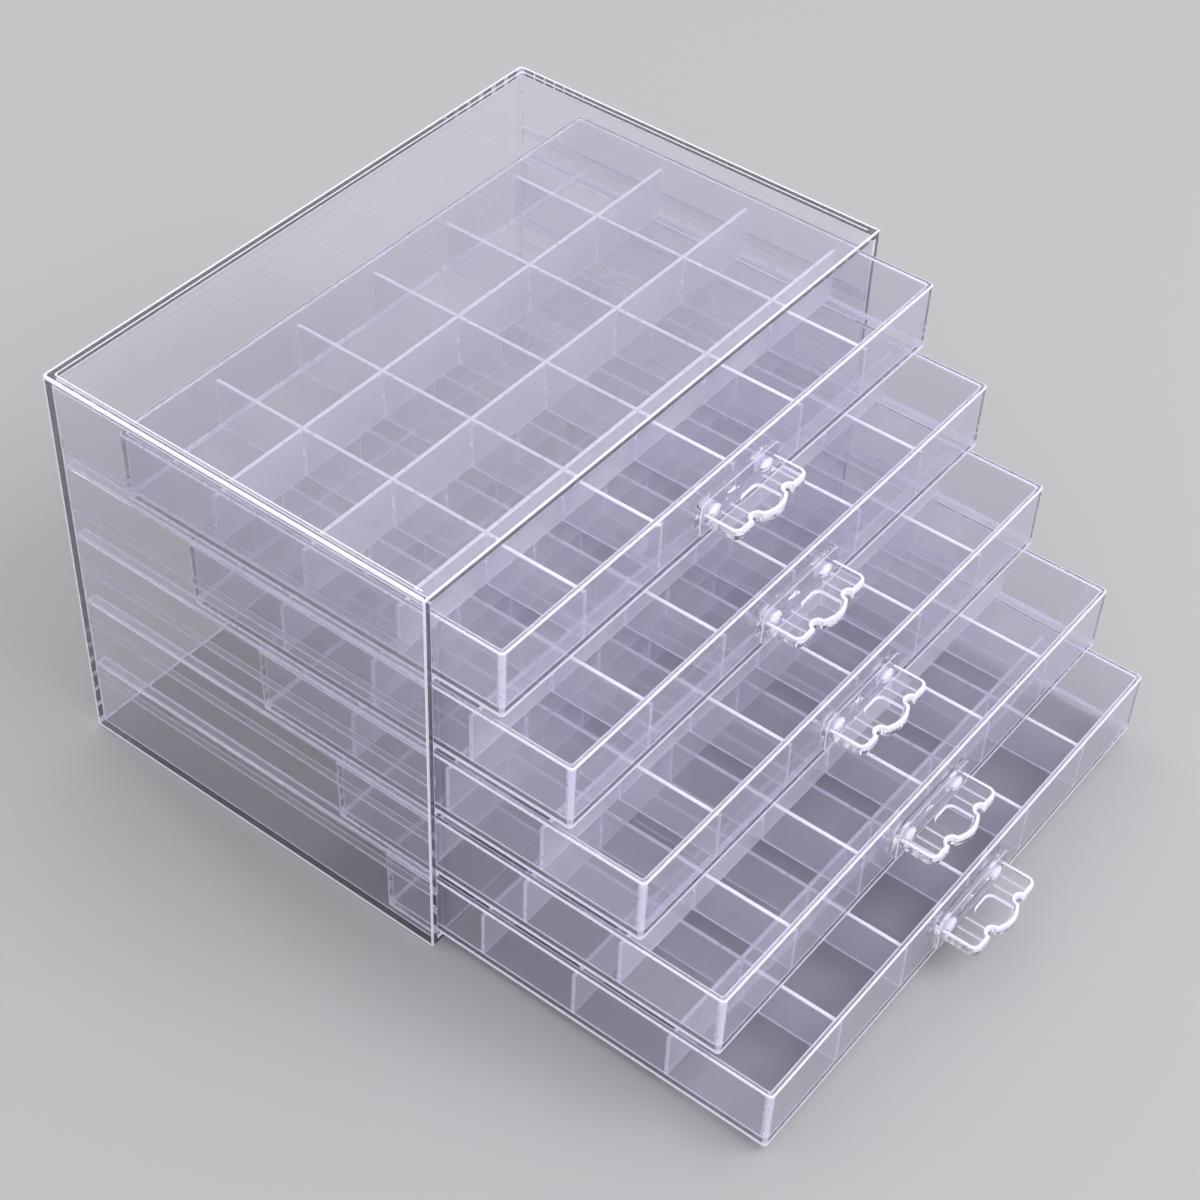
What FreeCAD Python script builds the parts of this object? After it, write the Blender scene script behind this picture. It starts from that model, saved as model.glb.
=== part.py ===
import FreeCAD, Part
import os
import Sketcher

# Earring box of clear plastic: an open-fronted case and five sliding drawers.
# Millimetres. X runs left to right, Y from the open front (-Y) to the rear, Z up.
# The origin is the middle of the case's underside.

SIZES = [
    ("case_width", 235.0, "case, outside, left to right"),
    ("case_depth", 157.0, "case, outside, front to rear"),
    ("case_height", 158.0, "case, outside, bottom to top"),
    ("case_wall", 3.0, "side and rear walls of the case"),
    ("case_corner", 2.0, "outer radius of the two rear corners"),
    ("case_inner_corner", 1.0, "inner radius of the two rear corners"),
    ("top_thickness", 3.0, "top panel"),
    ("base_thickness", 3.0, "base panel"),
    ("head_room", 2.0, "extra height above the top drawer"),
    ("drawer_count", 5.0, "drawers, one above another"),
    ("rail_thickness", 2.0, "runner under each upper drawer"),
    ("rail_seat", 3.0, "width of drawer that rests on a runner"),
    ("rail_setback", 1.0, "runner's end behind the case's front edge"),
    ("rib_spaces", 6.0, "equal heights that the ribs divide the case into"),
    ("rib_height", 4.5, "stiffening rib inside the side walls"),
    ("rib_gap", 0.4, "clearance from a rib to a drawer's side"),
    ("drawer_side_gap", 1.0, "clearance from a drawer to the case, each side"),
    ("drawer_rear_gap", 2.0, "clearance behind a closed drawer"),
    ("drawer_run_gap", 0.3, "clearance from a drawer to what it runs on"),
    ("drawer_head_gap", 1.2, "clearance from a drawer to the runner above"),
    ("tray_wall", 2.0, "walls of a drawer's tray"),
    ("tray_floor", 2.5, "floor of a drawer's tray"),
    ("tray_corner", 1.5, "outer radius of a tray's upright corners"),
    ("tray_inner_corner", 0.8, "inner radius of a tray's upright corners"),
    ("row_count", 4.0, "compartments of a drawer, from front to rear"),
    ("column_count", 6.0, "compartments of a drawer, left to right"),
    ("divider_thickness", 1.4, "both kinds of divider"),
    ("divider_height", 19.5, "both kinds of divider"),
    ("divider_gap", 0.15, "clearance from a divider's end to the tray"),
    ("notch_gap", 0.1, "clearance all round where two dividers cross"),
    ("flange_width", 42.0, "handle's foot on the drawer front"),
    ("flange_height", 14.0, "handle's foot on the drawer front"),
    ("flange_thickness", 2.0, "handle's foot on the drawer front"),
    ("grip_width", 38.0, "finger plate of the handle, tip to tip"),
    ("grip_reach", 15.0, "drawer front to the ends of the side lobes"),
    ("grip_thickness", 4.0, "finger plate of the handle"),
    ("grip_corner", 3.0, "corner radius of the side lobes"),
    ("bulge_radius", 12.0, "round middle lobe of the finger plate"),
    ("bulge_rise", 2.5, "middle lobe beyond the side lobes"),
    ("scallop_radius", 2.0, "dip on each side of the middle lobe"),
    ("scallop_offset", 8.8, "dip's centre from the handle's middle"),
    ("dish_radius", 6.5, "thumb rest sunk in the middle lobe"),
    ("dish_depth", 0.8, "thumb rest sunk in the middle lobe"),
    ("dish_offset", 8.5, "thumb rest's centre from the drawer front"),
    ("flute_radius", 1.6, "groove along each side lobe"),
    ("flute_depth", 0.8, "groove along each side lobe"),
    ("flute_offset", 13.8, "groove from the handle's middle"),
    ("drawer_1_open", 25.5, "top drawer, how far it stands out"),
    ("drawer_2_open", 51.5, "how far it stands out"),
    ("drawer_3_open", 79.0, "how far it stands out"),
    ("drawer_4_open", 110.0, "how far it stands out"),
    ("drawer_5_open", 130.0, "bottom drawer, how far it stands out"),
]

# Sizes that follow from the ones above.
INNER_WIDTH = "(sizes.case_width - 2 * sizes.case_wall)"
WRAP_HEIGHT = "(sizes.case_height - sizes.base_thickness - sizes.top_thickness)"
SLOT_PITCH = f"(({WRAP_HEIGHT} - sizes.head_room) / sizes.drawer_count)"
RIB_PITCH = "(sizes.case_height / sizes.rib_spaces)"
RIB_REACH = "(sizes.drawer_side_gap - sizes.rib_gap)"
RAIL_REACH = "(sizes.drawer_side_gap + sizes.rail_seat)"
FLAT_SIDE = "(sizes.case_depth - sizes.case_wall - sizes.case_inner_corner)"
RAIL_LENGTH = f"({FLAT_SIDE} - sizes.rail_setback)"
TRAY_WIDTH = f"({INNER_WIDTH} - 2 * sizes.drawer_side_gap)"
TRAY_DEPTH = "(sizes.case_depth - sizes.case_wall - sizes.drawer_rear_gap)"
TRAY_HEIGHT = (
    f"({SLOT_PITCH} - sizes.rail_thickness - sizes.drawer_run_gap - sizes.drawer_head_gap)"
)
ROOM_WIDTH = f"({TRAY_WIDTH} - 2 * sizes.tray_wall)"
ROOM_DEPTH = f"({TRAY_DEPTH} - 2 * sizes.tray_wall)"
COLUMN_PITCH = f"({ROOM_WIDTH} / sizes.column_count)"
ROW_PITCH = f"({ROOM_DEPTH} / sizes.row_count)"
NOTCH_WIDTH = "(sizes.divider_thickness + 2 * sizes.notch_gap)"
NOTCH_DEPTH = "(sizes.divider_height / 2 + sizes.notch_gap)"

doc = FreeCAD.newDocument("earring_box")
sheet = doc.addObject("Spreadsheet::Sheet", "sizes")
for row, (alias, size, note) in enumerate(SIZES, start=1):
    sheet.set(f"A{row}", note)
    sheet.set(f"B{row}", str(size))
    sheet.setAlias(f"B{row}", alias)
doc.recompute()


def number(size):
    """The present value of a size or of a formula of sizes."""
    return float(sheet.evalExpression(size))


def count(name):
    return round(number("sizes." + name))


def same(here, there):
    """Whether two positions are equal but for rounding errors."""
    return abs(here - there) < 0.01


def place(piece, x="0", y="0", z="0"):
    for axis, where in (("x", x), ("y", y), ("z", z)):
        piece.setExpression(f"Placement.Base.{axis}", where)


def new_body(name):
    body = doc.addObject("PartDesign::Body", name)
    body.Label = name
    return body


def new_sketch(body, plane, x="0", y="0", lift="0"):
    """A sketch on one of the body's own planes, shifted in the plane and lifted along its normal."""
    sketch = body.newObject("Sketcher::SketchObject", body.Name + "_sketch")
    support = next(item for item in body.Origin.OriginFeatures if item.Role == plane)
    sketch.AttachmentSupport = [(support, "")]
    sketch.MapMode = "FlatFace"
    for axis, where in (("x", x), ("y", y), ("z", lift)):
        sketch.setExpression(f"AttachmentOffset.Base.{axis}", where)
    return sketch


def set_size(sketch, name, kind, ends, size):
    """Adds a dimension to a sketch and ties it to the sheet."""
    index = sketch.addConstraint(Sketcher.Constraint(kind, *ends, number(size)))
    sketch.renameConstraint(index, name)
    sketch.setExpression("Constraints." + name, size)


def rectangle(sketch, width, height):
    """A rectangle centred on the sketch's upright axis, standing on its level axis."""
    half = number(width) / 2
    top = number(height)
    corners = [(-half, 0), (half, 0), (half, top), (-half, top)]
    points = [FreeCAD.Vector(across, up, 0) for across, up in corners]
    for side in range(4):
        sketch.addGeometry(Part.LineSegment(points[side], points[(side + 1) % 4]))
    for side in range(4):
        sketch.addConstraint(Sketcher.Constraint("Coincident", side, 2, (side + 1) % 4, 1))
    for side, direction in ((1, "Vertical"), (2, "Horizontal"), (3, "Vertical")):
        sketch.addConstraint(Sketcher.Constraint(direction, side))
    sketch.addConstraint(Sketcher.Constraint("Symmetric", 0, 1, 0, 2, -2))
    sketch.addConstraint(Sketcher.Constraint("PointOnObject", 0, 1, -1))
    set_size(sketch, "width", "DistanceX", (0, 1, 0, 2), width)
    set_size(sketch, "height", "DistanceY", (1, 1, 1, 2), height)


def circle(sketch, radius):
    """A circle about the sketch's own origin."""
    normal = FreeCAD.Vector(0, 0, 1)
    sketch.addGeometry(Part.Circle(FreeCAD.Vector(0, 0, 0), normal, number(radius)))
    sketch.addConstraint(Sketcher.Constraint("Coincident", 0, 3, -1, 1))
    set_size(sketch, "radius", "Radius", (0,), radius)


def pad(body, sketch, length, back=False, both=False):
    feature = body.newObject("PartDesign::Pad", body.Name + "_pad")
    feature.Profile = sketch
    feature.Reversed = back
    feature.SideType = "Symmetric" if both else "One side"
    feature.setExpression("Length", length)
    doc.recompute()
    return feature


def pocket(body, sketch, length, back=False, both=False):
    """Cuts a sketch out of a body, and stops if nothing was cut."""
    before = body.Shape.Volume
    feature = body.newObject("PartDesign::Pocket", body.Name + "_pocket")
    feature.Profile = sketch
    feature.Reversed = back
    feature.SideType = "Symmetric" if both else "One side"
    feature.setExpression("Length", length)
    doc.recompute()
    if body.Shape.Volume >= before:
        raise RuntimeError(f"{feature.Name} cuts nothing")
    return feature


def upright_edges(shape, at_corner):
    """Names of a shape's straight edges along Z for which at_corner(x, y) holds."""
    names = []
    for index, edge in enumerate(shape.Edges, start=1):
        start, end = edge.Vertexes[0].Point, edge.Vertexes[-1].Point
        is_upright = same(start.x, end.x) and same(start.y, end.y)
        if is_upright and at_corner(start.x, start.y):
            names.append(f"Edge{index}")
    return names


def round_uprights(body, at_corner, radius):
    base = body.Tip
    feature = body.newObject("PartDesign::Fillet", body.Name + "_fillet")
    feature.Base = (base, upright_edges(base.Shape, at_corner))
    feature.setExpression("Radius", radius)
    body.Tip = feature
    doc.recompute()
    return feature


def repeat(body, feature, sketch, axis, pitch, copies):
    """Repeats a feature along one of its sketch's axes."""
    pattern = body.newObject("PartDesign::LinearPattern", body.Name + "_pattern")
    pattern.Originals = [feature]
    pattern.Direction = (sketch, [axis])
    pattern.setExpression("Length", f"{pitch} * ({copies} - 1)")
    pattern.setExpression("Occurrences", copies)
    body.Tip = pattern
    doc.recompute()
    return pattern


def mirror_left_right(body, features):
    mirrored = body.newObject("PartDesign::Mirrored", body.Name + "_mirror")
    mirrored.Originals = features
    plane = next(item for item in body.Origin.OriginFeatures if item.Role == "YZ_Plane")
    mirrored.MirrorPlane = (plane, [""])
    body.Tip = mirrored
    doc.recompute()
    return mirrored


def make_panel(name, thickness, height):
    """A flat panel over the whole case, its two rear corners rounded."""
    body = new_body(name)
    outline = new_sketch(body, "XY_Plane")
    rectangle(outline, "sizes.case_width", "sizes.case_depth")
    pad(body, outline, thickness)
    round_uprights(body, lambda x, y: not same(y, 0), "sizes.case_corner")
    place(body, y="-sizes.case_depth / 2", z=height)
    return body


def make_case_wrap():
    """Left side, rear and right side in one sheet, bent at the rear corners and ribbed inside."""
    body = new_body("case_wrap")
    outline = new_sketch(body, "XY_Plane")
    rectangle(outline, "sizes.case_width", "sizes.case_depth")
    pad(body, outline, WRAP_HEIGHT)
    round_uprights(body, lambda x, y: not same(y, 0), "sizes.case_corner")
    hollow = new_sketch(body, "XY_Plane")
    rectangle(hollow, INNER_WIDTH, "sizes.case_depth - sizes.case_wall")
    pocket(body, hollow, WRAP_HEIGHT, back=True)
    inner_half = number(INNER_WIDTH) / 2
    round_uprights(
        body,
        lambda x, y: same(abs(x), inner_half) and not same(y, 0),
        "sizes.case_inner_corner",
    )
    for side in ("-1", "1"):
        rib = new_sketch(
            body,
            "XZ_Plane",
            x=f"{side} * ({INNER_WIDTH} - {RIB_REACH}) / 2",
            y=f"{RIB_PITCH} - sizes.rib_height / 2 - sizes.base_thickness",
        )
        rectangle(rib, RIB_REACH, "sizes.rib_height")
        lowest = pad(body, rib, FLAT_SIDE, back=True)
        repeat(body, lowest, rib, "V_Axis", RIB_PITCH, "(sizes.rib_spaces - 1)")
    place(body, y="-sizes.case_depth / 2", z="sizes.base_thickness")
    return body


def make_rails(name, left_edge):
    """The runners bonded inside one side wall, one under each drawer but the lowest."""
    rails = []
    for level in range(1, count("drawer_count")):
        rail = doc.addObject("Part::Box", f"{name}_{level}")
        rail.setExpression("Length", RAIL_REACH)
        rail.setExpression("Width", RAIL_LENGTH)
        rail.setExpression("Height", "sizes.rail_thickness")
        place(
            rail,
            x=left_edge,
            y="sizes.rail_setback - sizes.case_depth / 2",
            z=f"sizes.base_thickness + {level} * {SLOT_PITCH} - sizes.rail_thickness",
        )
        rails.append(rail)
    group = doc.addObject("Part::Compound", name)
    group.Label = name
    group.Links = rails
    return group


def make_tray(name):
    """An open tray with rounded upright corners inside and out."""
    body = new_body(name)
    outline = new_sketch(body, "XY_Plane")
    rectangle(outline, TRAY_WIDTH, TRAY_DEPTH)
    pad(body, outline, TRAY_HEIGHT)
    round_uprights(body, lambda x, y: True, "sizes.tray_corner")
    room = new_sketch(body, "XY_Plane", y="sizes.tray_wall", lift="sizes.tray_floor")
    rectangle(room, ROOM_WIDTH, ROOM_DEPTH)
    pocket(body, room, TRAY_HEIGHT, back=True)
    room_half = number(ROOM_WIDTH) / 2
    front = number("sizes.tray_wall")
    rear = front + number(ROOM_DEPTH)
    round_uprights(
        body,
        lambda x, y: same(abs(x), room_half) and (same(y, front) or same(y, rear)),
        "sizes.tray_inner_corner",
    )
    return body


def make_divider(name, length, notch_pitch, notches, notch_from):
    """An upright strip with a row of notches; it runs along X and stands on its lower edge.

    The notches start at height notch_from and run out past the strip's upper or lower edge.
    """
    body = new_body(name)
    face = new_sketch(body, "XZ_Plane")
    rectangle(face, length, "sizes.divider_height")
    pad(body, face, "sizes.divider_thickness", both=True)
    notch = new_sketch(
        body,
        "XZ_Plane",
        x=f"-{notch_pitch} * ({notches} - 1) / 2",
        y=notch_from,
    )
    rectangle(notch, NOTCH_WIDTH, "sizes.divider_height")
    first = pocket(body, notch, "2 * sizes.divider_thickness", both=True)
    repeat(body, first, notch, "H_Axis", notch_pitch, notches)
    return body


def make_long_divider(name):
    """Runs across the drawer, notched from above."""
    return make_divider(
        name,
        f"{ROOM_WIDTH} - 2 * sizes.divider_gap",
        COLUMN_PITCH,
        "(sizes.column_count - 1)",
        f"sizes.divider_height - {NOTCH_DEPTH}",
    )


def make_short_divider(name):
    """Runs from the drawer's front to its rear, notched from below."""
    body = make_divider(
        name,
        f"{ROOM_DEPTH} - 2 * sizes.divider_gap",
        ROW_PITCH,
        "(sizes.row_count - 1)",
        f"{NOTCH_DEPTH} - sizes.divider_height",
    )
    body.Placement.Rotation = FreeCAD.Rotation(FreeCAD.Vector(0, 0, 1), 90)
    return body


def make_handle(name):
    """A foot on the drawer front and a level finger plate with three lobes.

    The handle's own origin is the middle of the foot's rear face.
    """
    body = new_body(name)
    foot = new_sketch(body, "XZ_Plane", y="-sizes.flange_height / 2")
    rectangle(foot, "sizes.flange_width", "sizes.flange_height")
    pad(body, foot, "sizes.flange_thickness")

    plate = new_sketch(body, "XY_Plane", y="-sizes.grip_reach")
    rectangle(plate, "sizes.grip_width", "sizes.grip_reach - sizes.flange_thickness / 2")
    pad(body, plate, "sizes.grip_thickness", both=True)
    tip = -number("sizes.grip_reach")
    round_uprights(body, lambda x, y: same(y, tip), "sizes.grip_corner")

    bulge = new_sketch(
        body,
        "XY_Plane",
        y="sizes.bulge_radius - sizes.grip_reach - sizes.bulge_rise",
    )
    half_disc(bulge, "sizes.bulge_radius")
    pad(body, bulge, "sizes.grip_thickness", both=True)

    dip = new_sketch(body, "XY_Plane", x="sizes.scallop_offset", y="-sizes.grip_reach")
    circle(dip, "sizes.scallop_radius")
    dip_cut = pocket(body, dip, "2 * sizes.grip_thickness", both=True)
    mirror_left_right(body, [dip_cut])

    dish = new_sketch(
        body,
        "XY_Plane",
        y="-sizes.dish_offset",
        lift="sizes.grip_thickness / 2 - sizes.dish_depth",
    )
    circle(dish, "sizes.dish_radius")
    pocket(body, dish, "2 * sizes.dish_depth", back=True)

    flute = new_sketch(
        body,
        "XZ_Plane",
        x="sizes.flute_offset",
        y="sizes.grip_thickness / 2 + sizes.flute_radius - sizes.flute_depth",
        lift="sizes.flange_thickness",
    )
    circle(flute, "sizes.flute_radius")
    flute_cut = pocket(body, flute, "sizes.grip_reach", back=True)
    mirror_left_right(body, [flute_cut])
    return body


def half_disc(sketch, radius):
    """The half of a disc that faces away from the drawer."""
    size = number(radius)
    left = FreeCAD.Vector(-size, 0, 0)
    right = FreeCAD.Vector(size, 0, 0)
    sketch.addGeometry(Part.LineSegment(left, right))
    sketch.addGeometry(Part.Arc(left, FreeCAD.Vector(0, -size, 0), right))
    sketch.addConstraint(Sketcher.Constraint("Coincident", 0, 1, 1, 1))
    sketch.addConstraint(Sketcher.Constraint("Coincident", 0, 2, 1, 2))
    sketch.addConstraint(Sketcher.Constraint("Coincident", 1, 3, -1, 1))
    sketch.addConstraint(Sketcher.Constraint("PointOnObject", 0, 1, -1))
    sketch.addConstraint(Sketcher.Constraint("PointOnObject", 0, 2, -1))
    set_size(sketch, "radius", "Radius", (1,), radius)


def make_drawer(number_from_top):
    """One drawer: its tray, its crossing dividers and its handle, standing out of the case."""
    level = count("drawer_count") - number_from_top
    name = f"drawer_{number_from_top}"
    bottom = f"(sizes.base_thickness + {level} * {SLOT_PITCH} + sizes.drawer_run_gap)"
    front = f"(-sizes.case_depth / 2 - sizes.{name}_open)"
    floor = f"({bottom} + sizes.tray_floor)"
    pieces = []

    tray = make_tray(name + "_tray")
    place(tray, y=front, z=bottom)
    pieces.append(tray)

    for row in range(1, count("row_count")):
        divider = make_long_divider(f"{name}_long_divider_{row}")
        place(divider, y=f"{front} + sizes.tray_wall + {row} * {ROW_PITCH}", z=floor)
        pieces.append(divider)

    for column in range(1, count("column_count")):
        divider = make_short_divider(f"{name}_short_divider_{column}")
        place(
            divider,
            x=f"({column} - sizes.column_count / 2) * {COLUMN_PITCH}",
            y=f"{front} + {TRAY_DEPTH} / 2",
            z=floor,
        )
        pieces.append(divider)

    handle = make_handle(name + "_handle")
    place(handle, y=front, z=f"{bottom} + {TRAY_HEIGHT} / 2")
    pieces.append(handle)
    return pieces


def make_box():
    pieces = [
        make_panel("case_base", "sizes.base_thickness", "0"),
        make_panel("case_top", "sizes.top_thickness", "sizes.case_height - sizes.top_thickness"),
        make_case_wrap(),
        make_rails("left_rails", f"-{INNER_WIDTH} / 2"),
        make_rails("right_rails", f"{INNER_WIDTH} / 2 - {RAIL_REACH}"),
    ]
    for number_from_top in range(1, count("drawer_count") + 1):
        pieces += make_drawer(number_from_top)
    doc.recompute()
    return pieces


def check(pieces):
    """Stops if any feature failed or any piece is empty or faulty."""
    for item in doc.Objects:
        if "Invalid" in item.State or "Error" in item.State:
            raise RuntimeError(f"{item.Name} failed: {item.State}")
    for piece in pieces:
        if piece.Shape.isNull() or not piece.Shape.isValid():
            raise RuntimeError(f"{piece.Label} has no valid shape")


pieces = make_box()
check(pieces)
os.makedirs("parts", exist_ok=True)
for piece in pieces:
    piece.Shape.exportStep(f"parts/{piece.Label}.step")
print(len(pieces), "pieces written")
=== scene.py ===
import math

import bmesh
import bpy
from mathutils import Matrix, Vector


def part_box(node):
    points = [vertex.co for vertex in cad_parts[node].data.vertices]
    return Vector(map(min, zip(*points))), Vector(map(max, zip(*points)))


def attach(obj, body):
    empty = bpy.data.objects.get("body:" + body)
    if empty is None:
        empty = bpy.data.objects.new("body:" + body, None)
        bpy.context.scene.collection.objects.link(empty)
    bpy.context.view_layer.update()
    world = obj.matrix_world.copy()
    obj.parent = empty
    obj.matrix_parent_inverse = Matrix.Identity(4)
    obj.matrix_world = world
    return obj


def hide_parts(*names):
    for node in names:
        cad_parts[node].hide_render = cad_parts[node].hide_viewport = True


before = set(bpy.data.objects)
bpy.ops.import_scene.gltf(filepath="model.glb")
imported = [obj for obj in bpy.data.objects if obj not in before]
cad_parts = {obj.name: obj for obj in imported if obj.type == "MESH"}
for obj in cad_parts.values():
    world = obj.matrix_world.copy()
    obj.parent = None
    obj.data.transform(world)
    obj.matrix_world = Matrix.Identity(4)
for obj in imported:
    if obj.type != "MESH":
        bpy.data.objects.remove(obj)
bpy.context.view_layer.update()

# Sizes are in millimetres and turned into metres where a mesh is made.
MM = 0.001
GLUE_LINE = 0.02
CORNER_STEPS = 6

# A face's look, which is also the place of its material. The edge look is a painted highlight on
# edges and rims; the other bright one is a painted highlight on the trays' round corners and a
# painted glint on the pegs.
CLEAR, EDGE_HIGHLIGHT, CORNER_AND_PEG_HIGHLIGHT = 0, 1, 2

# Case
WALL = 3.0
CASE_CORNER, CASE_INNER_CORNER = 2.0, 1.0
CASE_EDGE = 0.6
# Height of the painted highlight band round the foot of the case
FOOT_HIGHLIGHT_HEIGHT = 1.6
# Insets of the rings on the top, which bound its two painted highlight lines
TOP_HIGHLIGHT_INSETS = (1.2, 2.9, 3.4)
TOP_HIGHLIGHT_CORNER = 1.0
RIB_SPACES = 6
RIB_REACH, RIB_HEIGHT, RIB_SLOPE = 0.6, 4.5, 0.8
RIB_FRONT_GAP, RIB_REAR_GAP = 0.3, 1.0
RUNNERS = 4
RUNNER_THICKNESS, RUNNER_EDGE = 2.0, 0.6

# Drawers
DRAWERS = range(1, 6)
DIVIDERS = {"long": 3, "short": 5}
TRAY_WALL, TRAY_FLOOR = 2.0, 2.5
TRAY_CORNER, TRAY_INNER_CORNER = 1.5, 0.8
LEAST_CORNER, LEAST_INNER_CORNER = 0.4, 0.3
DIVIDER_EDGE, NOTCH_GAP = 0.35, 0.1

# Handles, from the middle of the foot's rear
FOOT_HALF_WIDTH, FOOT_HALF_HEIGHT, FOOT_CORNER = 21.0, 7.0, 2.5
PLATE_HALF_WIDTH, PLATE_REAR, PLATE_FRONT, LOBE_CORNER = 19.0, -1.0, -15.0, 3.0
BULGE_PLACE, BULGE_RADIUS = (0.0, -5.5), 12.0
DIP_PLACE, DIP_RADIUS = (8.8, -15.0), 2.0
REST_HALF_WIDTH, REST_REAR, REST_CORNER, REST_RADIUS = 5.8, -4.2, 3.2, 10.8
# Each ridge's place across the plate and its front end
RIDGES = ((8.7, -12.6), (13.6, -13.9))
RIDGE_REAR = -4.6
PEG_RADIUS, PEG_REACH, PEG_SIDES, PEG_GAP = 2.2, 14.0, 24, 0.1

FLOOR_HALF_WIDTH, FLOOR_GAP = 4000, 0.4

ACRYLIC_IOR = 1.49
# Roughness for a viewer that doesn't follow the noise
GLOSSY, FROSTED = 0.03, 0.3
# How fine the noise of the ripples, the smears and the frost is
RIPPLES, SMEARS, FROST = 34, 55, 260


# Materials


def paint_glow(shader, base, strength):
    """Painted glow: emission that lets a sheet give off light though it is no lamp."""
    shader.inputs["Emission Color"].default_value = (*base, 1)
    shader.inputs["Emission Strength"].default_value = strength


def plain_shader(name, base, roughness, transmission=0.0):
    material = bpy.data.materials.new(name)
    material.use_nodes = True
    shader = material.node_tree.nodes["Principled BSDF"]
    shader.inputs["Base Color"].default_value = (*base, 1)
    shader.inputs["Roughness"].default_value = roughness
    shader.inputs["Transmission Weight"].default_value = transmission
    shader.inputs["IOR"].default_value = ACRYLIC_IOR
    return material, shader


def noise(tree, place, scale, detail):
    texture = tree.nodes.new("ShaderNodeTexNoise")
    texture.inputs["Scale"].default_value = scale
    texture.inputs["Detail"].default_value = detail
    tree.links.new(place, texture.inputs["Vector"])
    return texture.outputs["Fac"]


def clear_plastic(name, base, transmission, ripple_size, smear, painted_glow=0.0):
    """Clear moulded plastic: shallow ripples of the mould, smears that dull the gloss, and a
    painted glow where one is given.
    """
    material, shader = plain_shader(name, base, GLOSSY, transmission)
    paint_glow(shader, base, painted_glow)
    tree = material.node_tree
    coordinates = tree.nodes.new("ShaderNodeTexCoord")
    info = tree.nodes.new("ShaderNodeObjectInfo")
    spread = tree.nodes.new("ShaderNodeVectorMath")
    spread.operation = "ADD"
    tree.links.new(coordinates.outputs["Object"], spread.inputs[0])
    tree.links.new(info.outputs["Random"], spread.inputs[1])
    place = spread.outputs["Vector"]

    bump = tree.nodes.new("ShaderNodeBump")
    bump.inputs["Strength"].default_value = 0.25
    bump.inputs["Distance"].default_value = ripple_size
    tree.links.new(noise(tree, place, RIPPLES, 1), bump.inputs["Height"])
    tree.links.new(bump.outputs["Normal"], shader.inputs["Normal"])

    dull = tree.nodes.new("ShaderNodeMapRange")
    dull.inputs["From Min"].default_value = 0.35
    dull.inputs["From Max"].default_value = 0.75
    dull.inputs["To Min"].default_value = 0.0
    dull.inputs["To Max"].default_value = smear
    tree.links.new(noise(tree, place, SMEARS, 3), dull.inputs["Value"])
    tree.links.new(dull.outputs["Result"], shader.inputs["Roughness"])
    return material


def painted_highlight_material(name, base, transmission, painted_glow):
    """Painted highlight for edges, tray corners and pegs: a pale, less clear colour and a painted
    glow stand in for light, and the frost is roughness.
    """
    material, shader = plain_shader(name, base, FROSTED, transmission)
    paint_glow(shader, base, painted_glow)
    tree = material.node_tree
    coordinates = tree.nodes.new("ShaderNodeTexCoord")
    frost = tree.nodes.new("ShaderNodeMapRange")
    frost.inputs["To Min"].default_value = 0.12
    frost.inputs["To Max"].default_value = 0.5
    grain = noise(tree, coordinates.outputs["Object"], FROST, 2)
    tree.links.new(grain, frost.inputs["Value"])
    tree.links.new(frost.outputs["Result"], shader.inputs["Roughness"])
    return material


# Base colour, transmission, ripple size in metres, smear and painted glow. The dividers are one
# plastic; the long ones are milkier and glow more, a painted sheen for the light their faces
# catch.
case_clear = clear_plastic("case_clear", (0.96, 0.95, 1.0), 0.955, 0.0001, 0.02)
tray_clear = clear_plastic("tray_clear", (0.93, 0.917, 1.0), 0.885, 0.0005, 0.04)
short_clear = clear_plastic("short_divider_clear", (0.93, 0.917, 1.0), 0.83, 0.0003, 0.05, 0.02)
long_clear = clear_plastic("long_divider_clear", (0.92, 0.905, 1.0), 0.64, 0.0003, 0.06, 0.045)
handle_clear = clear_plastic("handle_clear", (0.965, 0.955, 1.0), 0.97, 0.0002, 0.02)

# Base colour, transmission and painted glow of the painted highlights on edges, tray corners and
# pegs
painted_edge_highlight = painted_highlight_material("painted_edge_highlight", (0.82, 0.805, 0.96), 0.22, 0.2)
painted_corner_highlight = painted_highlight_material("painted_corner_highlight", (0.84, 0.835, 1.0), 0.5, 0.1)
painted_peg_glint = painted_highlight_material("painted_peg_glint", (0.9, 0.89, 1.0), 0.55, 0.22)


# Mesh tools


def to_mesh(build, name):
    bmesh.ops.recalc_face_normals(build, faces=build.faces)
    mesh = bpy.data.meshes.new(name)
    build.to_mesh(mesh)
    build.free()
    return mesh


def smooth(mesh):
    """Smooth shading that stops at sharp edges."""
    mesh.shade_smooth()
    mesh.set_sharp_from_angle(angle=math.radians(40))


def add_piece(name, mesh, body, stands_for, where=(0, 0, 0)):
    """Puts a mesh in the scene as a named piece that moves with a body."""
    piece = bpy.data.objects.new(name, mesh)
    bpy.context.collection.objects.link(piece)
    piece.location = where
    bpy.context.view_layer.update()
    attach(piece, body)
    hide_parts(*stands_for)
    return piece


def give(mesh, *materials):
    for material in materials:
        mesh.materials.append(material)


def keep_flat(piece):
    """Lets large faces set the shading, so that flat walls look flat beside rounded edges."""
    shading = piece.modifiers.new("flat_walls", "WEIGHTED_NORMAL")
    shading.mode = "FACE_AREA"
    shading.weight = 100
    shading.keep_sharp = True


def soften(piece, width, segments=2):
    """Rounds a piece's sharp edges and gives the rounds the painted edge highlight, so they show
    as thin white lines.
    """
    bevel = piece.modifiers.new("soft_edges", "BEVEL")
    bevel.width = width * MM
    bevel.segments = segments
    bevel.limit_method = "ANGLE"
    bevel.angle_limit = math.radians(50)
    bevel.use_clamp_overlap = False
    bevel.material = EDGE_HIGHLIGHT
    keep_flat(piece)


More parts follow.
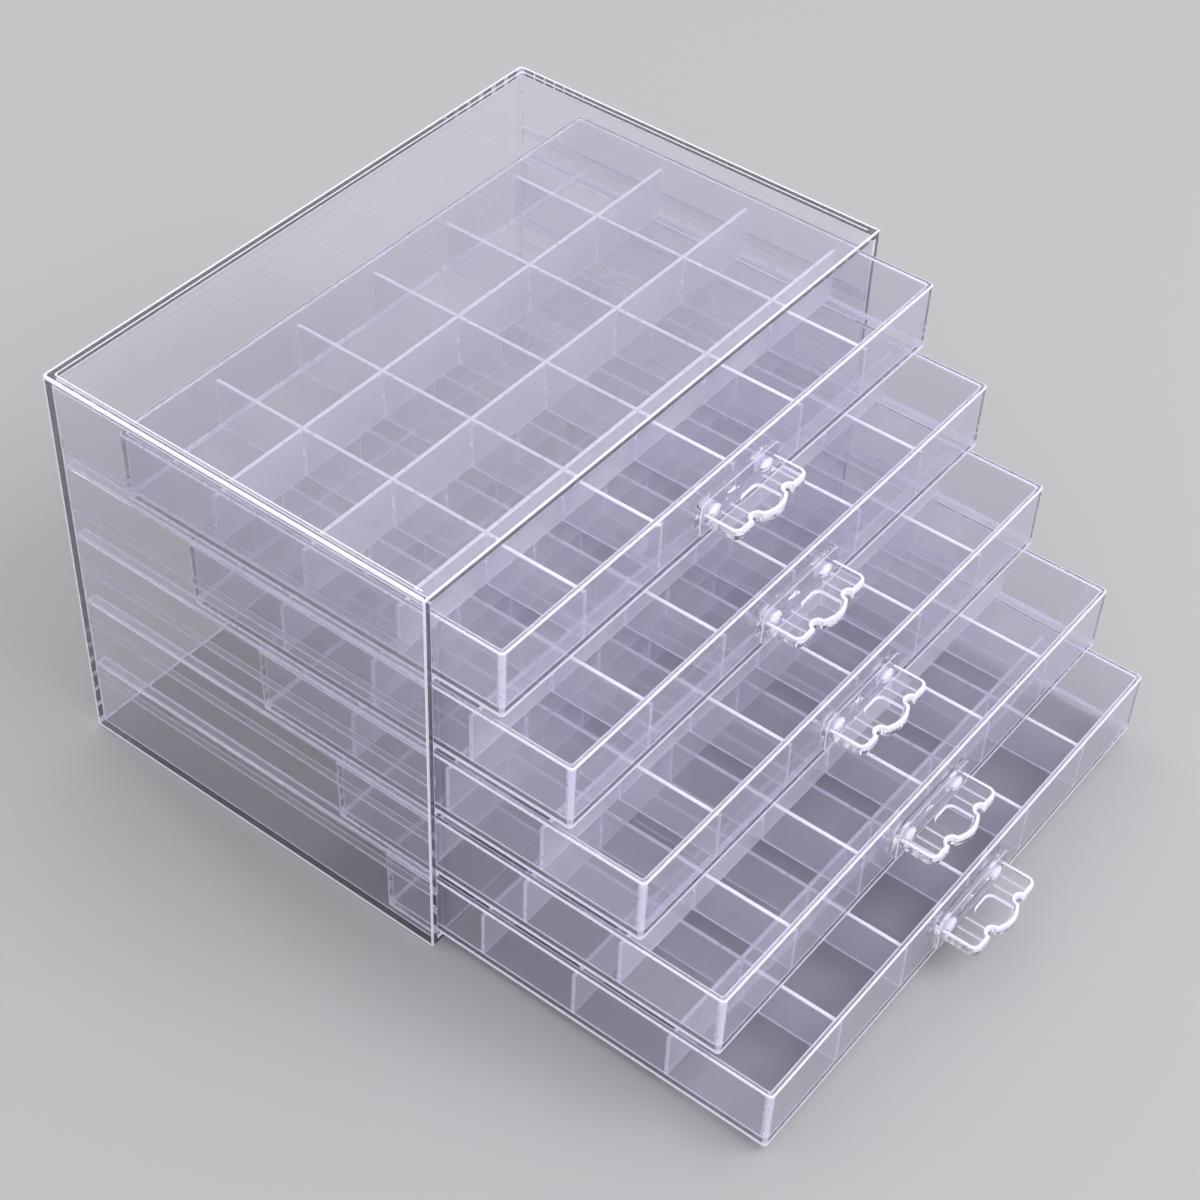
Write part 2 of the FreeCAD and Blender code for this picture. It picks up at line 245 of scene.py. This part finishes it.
def arc(centre, radius, start, end, steps):
    """Points along an arc, from a start to an end angle in degrees."""
    points = []
    for step in range(steps + 1):
        angle = math.radians(start + (end - start) * step / steps)
        x, y = radius * math.cos(angle), radius * math.sin(angle)
        points.append((centre[0] + x, centre[1] + y))
    return points


def circle(radius):
    return arc((0, 0), radius, 0, 360 - 360 / PEG_SIDES, PEG_SIDES - 1)


def in_corner(here):
    """Whether the face that starts at a ring's point lies in one of its round corners."""
    return here % (CORNER_STEPS + 1) < CORNER_STEPS


def rounded_ring(half_x, half_y, radius):
    """A rectangle with round corners, anticlockwise from above."""
    ring = []
    for quarter, (side_x, side_y) in enumerate(((1, 1), (-1, 1), (-1, -1), (1, -1))):
        centre = (side_x * (half_x - radius), side_y * (half_y - radius))
        ring += arc(centre, radius, 90 * quarter, 90 * (quarter + 1), CORNER_STEPS)
    return ring


def ring_of_points(build, outline, z):
    return [build.verts.new((x * MM, y * MM, z * MM)) for x, y in outline]


def loft(name, rings):
    """A closed solid through rings, with both ends capped.

    Each ring is an outline, its height and the look of the band that follows it. A band with the
    corner and peg highlight is painted only at its round corners; one with the edge highlight is
    painted all round.
    """
    build = bmesh.new()
    rows = [ring_of_points(build, outline, z) for outline, z, _ in rings]
    for low, high, (_, _, look) in zip(rows, rows[1:], rings):
        for here in range(len(low)):
            after = (here + 1) % len(low)
            face = build.faces.new((low[here], low[after], high[after], high[here]))
            if look == EDGE_HIGHLIGHT or (look == CORNER_AND_PEG_HIGHLIGHT and in_corner(here)):
                face.material_index = look
    build.faces.new(rows[0][::-1])
    build.faces.new(rows[-1])
    return to_mesh(build, name)


def combined(name, first, others, operation):
    """One closed mesh from several, by adding or cutting."""
    work = bpy.data.objects.new(name, first)
    bpy.context.collection.objects.link(work)
    tools = []
    for other in others:
        tool = bpy.data.objects.new(name + "_tool", other)
        bpy.context.collection.objects.link(tool)
        tools.append(tool)
        step = work.modifiers.new("combine", "BOOLEAN")
        step.operation = operation
        step.solver = "EXACT"
        step.object = tool
    graph = bpy.context.evaluated_depsgraph_get()
    mesh = bpy.data.meshes.new_from_object(work.evaluated_get(graph))
    for item in [work, *tools]:
        bpy.data.objects.remove(item)
    return mesh


# Case


def case_outline(half_x, front, rear, radius):
    """The case's outline from above, square in front and rounded behind."""
    outline = [(-half_x, front), (half_x, front)]
    outline += arc((half_x - radius, rear - radius), radius, 0, 90, CORNER_STEPS)
    outline += arc((radius - half_x, rear - radius), radius, 90, 180, CORNER_STEPS)
    return outline


def case_mesh():
    """The case as one hollow shell, open in front, with painted highlight lines at its top and
    foot and on its round corners.
    """
    low, high = (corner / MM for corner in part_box("case_base"))
    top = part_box("case_top")[1].z / MM
    build = bmesh.new()

    def ring(inset, z, radius, front_inset=0.0):
        outline = case_outline(high.x - inset, low.y + front_inset, high.y - inset, radius)
        return ring_of_points(build, outline, z)

    def band(lower, upper, painted):
        """Faces between two rings at the sides and rear, where all, the corners or none get the
        painted highlight.
        """
        for here in range(1, len(lower)):
            after = (here + 1) % len(lower)
            face = build.faces.new((lower[here], lower[after], upper[after], upper[here]))
            if painted == "all" or (painted == "corners" and in_corner(here - 2)):
                face.material_index = EDGE_HIGHLIGHT

    outside = [ring(0, z, CASE_CORNER) for z in (low.z, low.z + FOOT_HIGHLIGHT_HEIGHT, top)]
    inside = [ring(WALL, z, CASE_INNER_CORNER) for z in (high.z, top - WALL)]
    band(outside[0], outside[1], "all")
    band(outside[1], outside[2], "corners")
    band(inside[0], inside[1], "corners")

    highlight_rings = [outside[2]] + [ring(inset, top, TOP_HIGHLIGHT_CORNER, inset) for inset in TOP_HIGHLIGHT_INSETS]
    for outer, inner, painted in zip(highlight_rings, highlight_rings[1:], ("all", "none", "all")):
        band(outer, inner, painted)
        build.faces.new((outer[0], outer[1], inner[1], inner[0]))

    for flat in (outside[0], *inside, highlight_rings[-1]):
        build.faces.new(flat)
    for side in (0, 1):
        build.faces.new([row[side] for row in outside] + [row[side] for row in inside[::-1]])
    for outer, inner in ((outside[0], inside[0]), (outside[2], inside[1])):
        build.faces.new((outer[0], outer[1], inner[1], inner[0]))
    return to_mesh(build, "case_shell")


def bars_mesh(name, side, bars, slope=0.0):
    """Level bars on a side wall of the case, each given by its lowest and highest corner.

    Where they slope, their upper and lower faces narrow towards the middle of the case and carry
    the painted edge highlight.
    """
    build = bmesh.new()
    for low, high in bars:
        root, tip = (low.x, high.x) if side < 0 else (high.x, low.x)
        section = [(root, low.z), (tip, low.z + slope), (tip, high.z - slope), (root, high.z)]
        front, rear = (
            [build.verts.new(Vector((x, y, z)) * MM) for x, z in section] for y in (low.y, high.y)
        )
        build.faces.new(front)
        build.faces.new(rear[::-1])
        for here in range(4):
            after = (here + 1) % 4
            face = build.faces.new((front[here], rear[here], rear[after], front[after]))
            if here in (0, 2) and slope > 0:
                face.material_index = EDGE_HIGHLIGHT
    return to_mesh(build, name)


def make_side(name, side):
    """The ribs and the runners inside one side wall."""
    low, high = (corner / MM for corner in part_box("case_wrap"))
    wall = side * (high.x - WALL)

    def bar(tip, front, rear, bottom, thickness):
        left, right = sorted((wall - side * GLUE_LINE, tip))
        return Vector((left, front, bottom)), Vector((right, rear, bottom + thickness))

    case_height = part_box("case_top")[1].z / MM
    front, rear = low.y + RIB_FRONT_GAP, high.y - WALL - RIB_REAR_GAP
    ribs = []
    for level in range(1, RIB_SPACES):
        bottom = case_height * level / RIB_SPACES - RIB_HEIGHT / 2
        ribs.append(bar(wall - side * RIB_REACH, front, rear, bottom, RIB_HEIGHT))
    mesh = bars_mesh(f"{name}_ribs", side, ribs, RIB_SLOPE)
    give(mesh, case_clear, painted_edge_highlight)
    add_piece(f"{name}_ribs", mesh, "case", ["case_wrap"])

    low, high = (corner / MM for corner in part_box(f"{name}_rails"))
    tip = high.x if side < 0 else low.x
    pitch = (high.z - low.z - RUNNER_THICKNESS) / (RUNNERS - 1)
    runners = []
    for level in range(RUNNERS):
        bottom = low.z + level * pitch
        runners.append(bar(tip, low.y, high.y, bottom, RUNNER_THICKNESS))
    mesh = bars_mesh(f"{name}_runners", side, runners)
    give(mesh, case_clear, painted_edge_highlight)
    smooth(mesh)
    piece = add_piece(f"{name}_runners", mesh, "case", [f"{name}_rails"])
    soften(piece, RUNNER_EDGE)


def make_case():
    shell = case_mesh()
    give(shell, case_clear, painted_edge_highlight)
    smooth(shell)
    panels = ["case_base", "case_top", "case_wrap"]
    piece = add_piece("case_shell", shell, "case", panels)
    soften(piece, CASE_EDGE, segments=3)
    make_side("left", -1)
    make_side("right", 1)


# Drawers


def tray_profile(height):
    """The tray's section as insets, heights and looks: up the outside, then down the inside."""
    # Bands with the edge look carry a painted highlight; the corner and peg look paints one at
    # the round corners.
    outside = [
        (2.2, 0.0, EDGE_HIGHLIGHT),
        (1.0, 0.0, EDGE_HIGHLIGHT),
        (0.45, 0.1, EDGE_HIGHLIGHT),
        (0.25, 0.35, EDGE_HIGHLIGHT),
        (0.2, 1.9, CORNER_AND_PEG_HIGHLIGHT),
        (0.0, height - 0.6, EDGE_HIGHLIGHT),
        (0.1, height - 0.25, EDGE_HIGHLIGHT),
        (0.3, height - 0.06, EDGE_HIGHLIGHT),
        (0.55, height, CLEAR),
    ]
    wall, floor = TRAY_WALL, TRAY_FLOOR - GLUE_LINE
    inside = [
        (wall - 0.55, height, EDGE_HIGHLIGHT),
        (wall - 0.3, height - 0.06, EDGE_HIGHLIGHT),
        (wall - 0.1, height - 0.25, EDGE_HIGHLIGHT),
        (wall, height - 0.6, CORNER_AND_PEG_HIGHLIGHT),
        (wall + 0.05, floor + 1.3, EDGE_HIGHLIGHT),
        (wall + 0.15, floor + 0.4, EDGE_HIGHLIGHT),
        (wall + 0.35, floor + 0.1, CLEAR),
        (wall + 0.8, floor, CLEAR),
    ]
    return outside, inside


def tray_mesh(size):
    """An open tray about its own middle, standing on z = 0, with two holes for the pegs."""
    rings = []

    def add_ring(inset, radius, z, look):
        rings.append((rounded_ring(size.x / 2 - inset, size.y / 2 - inset, radius), z, look))

    outside, inside = tray_profile(size.z)
    for inset, z, look in outside:
        add_ring(inset, max(TRAY_CORNER - inset, LEAST_CORNER), z, look)
    for inset, z, look in inside:
        radius = max(TRAY_INNER_CORNER - (inset - TRAY_WALL), LEAST_INNER_CORNER)
        add_ring(inset, radius, z, look)
    solid = loft("tray", rings)

    holes = []
    outline = circle(PEG_RADIUS + PEG_GAP)
    for side in (-1, 1):
        # The holes' walls carry the painted edge highlight.
        hole = loft("hole", [(outline, -1, EDGE_HIGHLIGHT), (outline, TRAY_WALL + 1, CLEAR)])
        lay_forward(hole, (side * PEG_REACH, -size.y / 2, size.z / 2))
        holes.append(hole)
    for mesh in (solid, *holes):
        give(mesh, tray_clear, painted_edge_highlight, painted_corner_highlight)
    mesh = combined("tray", solid, holes, "DIFFERENCE")
    smooth(mesh)
    return mesh


def strip_mesh(name, is_long, length, height, thickness, notches):
    """A notched divider about its own middle, standing on z = 0; its narrow faces carry the
    painted edge highlight.

    A long one runs along X and is notched from above, a short one along Y and from below.
    """
    half, deep = length / 2, height / 2 + NOTCH_GAP
    lower, upper = [], []
    for centre in notches:
        left = centre - thickness / 2 - NOTCH_GAP
        right = centre + thickness / 2 + NOTCH_GAP
        if is_long:
            bottom = height - deep
            upper += [(left, height), (left, bottom), (right, bottom), (right, height)]
        else:
            lower += [(left, 0), (left, deep), (right, deep), (right, 0)]
    outline = [(-half, 0), *lower, (half, 0), (half, height), *upper[::-1], (-half, height)]
    build = bmesh.new()
    faces = []
    for offset in (-thickness / 2, thickness / 2):
        face = []
        for across, up in outline:
            point = (across, offset, up) if is_long else (offset, across, up)
            face.append(build.verts.new(Vector(point) * MM))
        faces.append(face)
    front, back = faces
    build.faces.new(front)
    build.faces.new(back[::-1])
    for here in range(len(front)):
        after = (here + 1) % len(front)
        face = build.faces.new((front[here], back[here], back[after], front[after]))
        face.material_index = EDGE_HIGHLIGHT
    mesh = to_mesh(build, name)
    smooth(mesh)
    return mesh


def divider_mesh(kind, crossing, plastic):
    """The mesh that all long or all short dividers share, measured on the first drawer."""
    is_long = kind == "long"
    axis = 0 if is_long else 1
    low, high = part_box(f"drawer_1_{kind}_divider_1")
    middle, size = (low + high) / 2, (high - low) / MM
    notches = []
    for index in range(1, DIVIDERS[crossing] + 1):
        start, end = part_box(f"drawer_1_{crossing}_divider_{index}")
        notches.append(((start + end)[axis] / 2 - middle[axis]) / MM)
    thickness = size[1 - axis]
    mesh = strip_mesh(f"{kind}_divider", is_long, size[axis], size.z, thickness, sorted(notches))
    give(mesh, plastic, painted_edge_highlight)
    return mesh


# Handles


def lay_forward(mesh, where):
    """Turns a mesh that stands on z = 0 to point to the rear, and moves it."""
    mesh.transform(Matrix.Rotation(math.radians(-90), 4, "X"))
    mesh.transform(Matrix.Translation(Vector(where) * MM))


def half_plate(shrink):
    """The finger plate's right half, drawn in by shrink, from its front middle to its rear."""
    bulge, bulge_radius = Vector(BULGE_PLACE), BULGE_RADIUS - shrink
    dip, dip_radius = Vector(DIP_PLACE), DIP_RADIUS + shrink

    # Where the bulge's arc runs into the dip's
    apart = dip - bulge
    ahead = apart.normalized()
    along = (bulge_radius**2 - dip_radius**2 + apart.length_squared) / (2 * apart.length)
    across = math.sqrt(bulge_radius**2 - along**2)
    meet = bulge + along * ahead - across * Vector((-ahead.y, ahead.x))
    bulge_end = math.degrees(math.atan2(meet.y - bulge.y, meet.x - bulge.x))
    dip_start = math.degrees(math.atan2(meet.y - dip.y, meet.x - dip.x)) % 360
    dip_end = math.degrees(math.asin(shrink / dip_radius))

    corner = (PLATE_HALF_WIDTH - LOBE_CORNER, PLATE_FRONT + LOBE_CORNER)
    outline = arc(bulge, bulge_radius, -90, bulge_end, steps=9)
    outline += arc(dip, dip_radius, dip_start, dip_end, steps=8)[1:]
    outline += arc(corner, LOBE_CORNER - shrink, -90, 0, steps=6)
    outline += [(PLATE_HALF_WIDTH - shrink, PLATE_REAR)]
    return outline


def plate_mesh():
    """The finger plate, with a raised rim and every upper face that faces forward carrying the
    painted edge highlight.
    """
    profile = [
        (0.5, -2.0, CLEAR),
        (0.15, -1.85, CLEAR),
        (0.0, -1.5, CLEAR),
        (0.0, 0.0, CLEAR),
        (0.0, 1.5, EDGE_HIGHLIGHT),
        (0.15, 1.85, EDGE_HIGHLIGHT),
        (0.45, 2.0, EDGE_HIGHLIGHT),
        (0.9, 2.0, EDGE_HIGHLIGHT),
        (1.15, 1.85, CLEAR),
        (1.3, 1.2, CLEAR),
    ]
    rings = []
    for shrink, z, look in profile:
        right = half_plate(shrink)
        left = [(-x, y) for x, y in right[:0:-1]]
        rings.append((right + left, z, look))
    plate = loft("plate", rings)
    # Upper faces that face forward get the painted edge highlight.
    for face in plate.polygons:
        faces_forward = face.normal.y < -0.4 and abs(face.normal.z) < 0.3
        if faces_forward and face.center.z > 0:
            face.material_index = EDGE_HIGHLIGHT
    return plate


def ridge_mesh(across, front):
    """A low ridge on the finger plate, from near the foot to a given front."""
    rings = []
    # The ridge's sides carry the painted edge highlight.
    for half, z, look in ((0.45, 1.0, EDGE_HIGHLIGHT), (0.4, 1.5, EDGE_HIGHLIGHT), (0.2, 1.9, CLEAR)):
        left, right = across - half, across + half
        corners = [(right, RIDGE_REAR), (left, RIDGE_REAR), (left, front), (right, front)]
        rings.append((corners, z, look))
    return loft("ridge", rings)


def rest_mesh():
    """The hollow of the thumb rest: straight sides, a round front and round rear corners."""
    rings = []
    # The hollow's sides carry the painted edge highlight.
    for shrink, z in ((0.9, 0.2), (0.7, 0.35), (0.5, 0.7), (0.4, 1.3), (0.0, 3.0)):
        half, rear = REST_HALF_WIDTH - shrink, REST_REAR - shrink
        corner, radius = REST_CORNER - shrink, REST_RADIUS - shrink
        spread = math.degrees(math.asin(half / radius))
        outline = arc(BULGE_PLACE, radius, -90 - spread, -90 + spread, steps=10)
        outline += arc((half - corner, rear - corner), corner, 0, 90, steps=4)
        outline += arc((corner - half, rear - corner), corner, 90, 180, steps=4)
        rings.append((outline, z, EDGE_HIGHLIGHT))
    return loft("rest", rings)


def foot_mesh():
    """The flat foot, which stands upright against the drawer's front."""
    # A narrow band at the rim of the foot's face carries the painted edge highlight.
    profile = [(0.0, 0.0, CLEAR), (0.0, 1.5, CLEAR), (0.15, 1.85, EDGE_HIGHLIGHT), (0.5, 2.0, CLEAR)]
    rings = []
    for inset, z, look in profile:
        width, height = FOOT_HALF_WIDTH - inset, FOOT_HALF_HEIGHT - inset
        rings.append((rounded_ring(width, height, FOOT_CORNER - inset), z, look))
    foot = loft("foot", rings)
    foot.transform(Matrix.Rotation(math.radians(90), 4, "X"))
    return foot


def peg_mesh(side):
    """A peg through the drawer's front, with a boss on the foot and a round head behind."""
    boss = [(1.2, -3.4), (2.5, -3.1), (3.2, -2.5), (3.2, -1.9)]
    shaft = [(PEG_RADIUS, -1.8), (PEG_RADIUS, 2.1)]
    head = [(3.3, 2.5), (3.0, 3.2), (1.6, 4.0)]
    peg = loft("peg", [(circle(radius), z, CLEAR) for radius, z in boss + shaft + head])
    # Every face of the peg carries the painted glint.
    for face in peg.polygons:
        face.material_index = CORNER_AND_PEG_HIGHLIGHT
    lay_forward(peg, (side * PEG_REACH, 0, 0))
    return peg


def handle_mesh():
    """A foot with pegs, and a level finger plate of three lobes with ridges and a thumb rest."""
    parts = [plate_mesh(), foot_mesh(), peg_mesh(-1), peg_mesh(1)]
    for across, front in RIDGES:
        parts += [ridge_mesh(-across, front), ridge_mesh(across, front)]
    rest = rest_mesh()
    for mesh in (*parts, rest):
        give(mesh, handle_clear, painted_edge_highlight, painted_peg_glint)
    whole = combined("handle", parts[0], parts[1:], "UNION")
    mesh = combined("handle", whole, [rest], "DIFFERENCE")
    smooth(mesh)
    return mesh


# Drawers in the scene


def make_drawer(index, tray, dividers, handle):
    body = f"drawer_{index}"
    low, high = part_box(body + "_tray")
    where = ((low.x + high.x) / 2, (low.y + high.y) / 2, low.z)
    nodes = [body + "_tray"]
    piece = add_piece(body + "_tray_moulding", tray, body, nodes, where)
    keep_flat(piece)
    for kind, mesh in dividers.items():
        for number in range(1, DIVIDERS[kind] + 1):
            node = f"{body}_{kind}_divider_{number}"
            low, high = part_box(node)
            where = ((low.x + high.x) / 2, (low.y + high.y) / 2, low.z)
            name = f"{body}_{kind}_strip_{number}"
            piece = add_piece(name, mesh, body, [node], where)
            soften(piece, DIVIDER_EDGE)
    low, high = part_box(body + "_handle")
    where = ((low.x + high.x) / 2, high.y, (low.z + high.z) / 2)
    nodes = [body + "_handle"]
    piece = add_piece(body + "_grip", handle, body, nodes, where)
    keep_flat(piece)


def make_drawers():
    low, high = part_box("drawer_1_tray")
    tray = tray_mesh((high - low) / MM)
    dividers = {
        "long": divider_mesh("long", "short", long_clear),
        "short": divider_mesh("short", "long", short_clear),
    }
    handle = handle_mesh()
    for index in DRAWERS:
        make_drawer(index, tray, dividers, handle)


# Studio


def make_floor():
    """Pale paper a little below the case, so that the two faces don't coincide."""
    build = bmesh.new()
    bmesh.ops.create_grid(build, x_segments=1, y_segments=1, size=FLOOR_HALF_WIDTH * MM)
    bmesh.ops.translate(build, verts=build.verts, vec=(0, 0, -FLOOR_GAP * MM))
    floor = bpy.data.objects.new("floor", to_mesh(build, "floor"))
    bpy.context.collection.objects.link(floor)
    material, _ = plain_shader("floor_paper", base=(0.44, 0.44, 0.455), roughness=0.85)
    give(floor.data, material)


def make_sky():
    """A soft dome, a little brighter overhead than at the horizon."""
    world = bpy.data.worlds.new("studio")
    world.use_nodes = True
    tree = world.node_tree
    coordinates = tree.nodes.new("ShaderNodeTexCoord")
    parts = tree.nodes.new("ShaderNodeSeparateXYZ")
    height = tree.nodes.new("ShaderNodeMapRange")
    height.inputs["From Min"].default_value = 0.0
    height.inputs["From Max"].default_value = 0.8
    height.inputs["To Min"].default_value = 0.75
    height.inputs["To Max"].default_value = 1.0
    tree.links.new(coordinates.outputs["Generated"], parts.inputs["Vector"])
    tree.links.new(parts.outputs["Z"], height.inputs["Value"])
    tree.links.new(height.outputs["Result"], tree.nodes["Background"].inputs["Strength"])
    tree.nodes["Background"].inputs["Color"].default_value = (1, 1, 1, 1)
    bpy.context.scene.world = world


def soft_lamp(name, where, aim, size, power):
    """A rectangular lamp, placed and aimed in metres."""
    lamp = bpy.data.lights.new(name, "AREA")
    lamp.shape = "RECTANGLE"
    lamp.size, lamp.size_y = size
    lamp.energy = power
    stand = bpy.data.objects.new(name, lamp)
    stand.location = where
    stand.rotation_euler = (Vector(aim) - Vector(where)).to_track_quat("-Z", "Y").to_euler()
    bpy.context.collection.objects.link(stand)


def make_camera(azimuth, elevation, roll, where, lens):
    """A camera placed in millimetres, turned by three angles in degrees."""
    data = bpy.data.cameras.new("camera")
    data.sensor_width = 36
    data.lens = lens
    camera = bpy.data.objects.new("camera", data)
    a, e, r = (math.radians(angle) for angle in (azimuth, elevation, roll))
    back = Vector((math.sin(a) * math.cos(e), -math.cos(a) * math.cos(e), math.sin(e)))
    level = Vector((0, 0, 1)).cross(back).normalized()
    over = back.cross(level)
    right = math.cos(r) * level + math.sin(r) * over
    up = math.cos(r) * over - math.sin(r) * level
    turn = Matrix((right, up, back)).transposed()
    camera.matrix_world = Matrix.Translation(Vector(where) * MM) @ turn.to_4x4()
    bpy.context.collection.objects.link(camera)
    bpy.context.scene.camera = camera


make_case()
make_drawers()

# The solids get a look of their own, though the pieces above replace them.
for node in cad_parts.values():
    node.data.materials.clear()
    give(node.data, case_clear)

make_floor()
make_sky()
soft_lamp("key", where=(0.2, -0.9, 1.3), aim=(0, 0, 0), size=(0.9, 0.7), power=9)
soft_lamp("rear_strip", where=(0.15, 1.35, 1.3), aim=(-0.08, 0, 0.15), size=(0.25, 1.6), power=4)
make_camera(azimuth=-53.83, elevation=44.18, roll=2.57, where=(-485.2, -408.7, 639.8), lens=73.19)

scene = bpy.context.scene
scene.view_settings.view_transform = "Standard"
scene.cycles.max_bounces = 28
scene.cycles.transmission_bounces = 28
scene.cycles.glossy_bounces = 12
